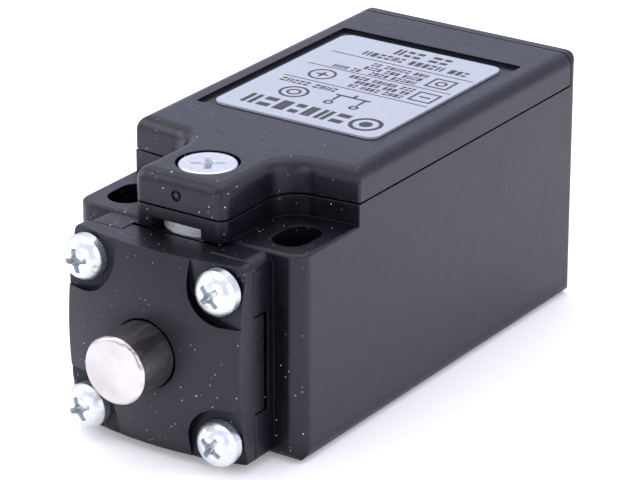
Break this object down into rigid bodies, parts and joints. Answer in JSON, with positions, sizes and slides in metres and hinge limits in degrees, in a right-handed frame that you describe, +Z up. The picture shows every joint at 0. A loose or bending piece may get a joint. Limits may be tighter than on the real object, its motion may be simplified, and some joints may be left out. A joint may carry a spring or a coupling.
{
  "type": "limit switch",
  "caption": "Plastic-bodied safety limit switch with a spring-loaded steel plunger, a screwed-on cover, slotted fixing ears and a threaded cable entry.",
  "frame": {"origin": "on the mounting face, midway between the two fixing slots", "axes": "+X across the body, +Y from the plunger towards the cable entry along the plunger's stroke, +Z up from the mounting face to the cover"},
  "size_m": [0.03, 0.0714, 0.0309],
  "materials": {
    "black_plastic": "fine matte glass-filled moulding",
    "polished_steel": "ground and polished",
    "zinc_plate": "bright zinc plating",
    "spring_steel": "drawn wire",
    "black_rubber": "matte nitrile",
    "label_white": "satin film",
    "block_plastic": "matte moulding",
    "slide_plastic": "matte moulding",
    "lid_plastic": "matte moulding",
    "contact_brass": "rolled strip",
    "contact_silver": "polished"
  },
  "bodies": {
    "body": {"housing": "black_plastic", "head_cap": "black_plastic", "head_screws": "zinc_plate", "head_gasket": "black_rubber", "plunger_seal": "black_rubber", "stop_washer": "zinc_plate", "cover_nut": "zinc_plate", "return_spring": "spring_steel", "block_case": "block_plastic", "block_lid": "lid_plastic", "block_screws": "zinc_plate", "strip_nc_left": "contact_brass", "strip_nc_right": "contact_brass", "strip_no_left": "contact_brass", "strip_no_right": "contact_brass", "fixed_tips": "contact_silver", "terminal_clamps": "zinc_plate", "terminal_screws": "zinc_plate", "carrier_spring": "spring_steel"},
    "plunger_rod": {"plunger": "polished_steel", "tappet": "slide_plastic"},
    "contact_slide": {"contact_carrier": "slide_plastic", "bridge_spring_nc": "spring_steel", "bridge_spring_no": "spring_steel"},
    "nc_bridge": {"bridge_nc": "contact_brass", "moving_tips_nc": "contact_silver"},
    "no_bridge": {"bridge_no": "contact_brass", "moving_tips_no": "contact_silver"},
    "lid": {"cover": "black_plastic", "cover_gasket": "black_rubber", "cover_screw": "zinc_plate", "screw_retainer": "black_rubber", "label_plate": "label_white"}
  },
  "joints": [
    {"name": "plunger_travel", "type": "slide", "parent": "body", "child": "plunger_rod", "axis": [0, 1, 0], "range_m": [0, 0.005], "stiffness_N_per_m": 1500, "springref_m": -0.006, "deforming": ["return_spring"]},
    {"name": "slide_travel", "type": "slide", "parent": "body", "child": "contact_slide", "axis": [0, 1, 0], "range_m": [0, 0.005], "deforming": ["carrier_spring"]},
    {"name": "nc_bridge_travel", "type": "slide", "parent": "body", "child": "nc_bridge", "axis": [0, 1, 0], "range_m": [0, 0.0045], "deforming": ["bridge_spring_nc"]},
    {"name": "no_bridge_travel", "type": "slide", "parent": "body", "child": "no_bridge", "axis": [0, 1, 0], "range_m": [0, 0.002], "deforming": ["bridge_spring_no"]},
    {"name": "cover_lift", "type": "slide", "parent": "body", "child": "lid", "axis": [0, 0, 1], "range_m": [0, 0.03]}
  ],
  "couplings": [
    {"joint": "slide_travel", "follows": "plunger_travel", "ratio": 1},
    {"joint": "nc_bridge_travel", "follows": "plunger_travel", "ratio": 0.9},
    {"joint": "no_bridge_travel", "follows": "plunger_travel", "ratio": 0.4}
  ]
}
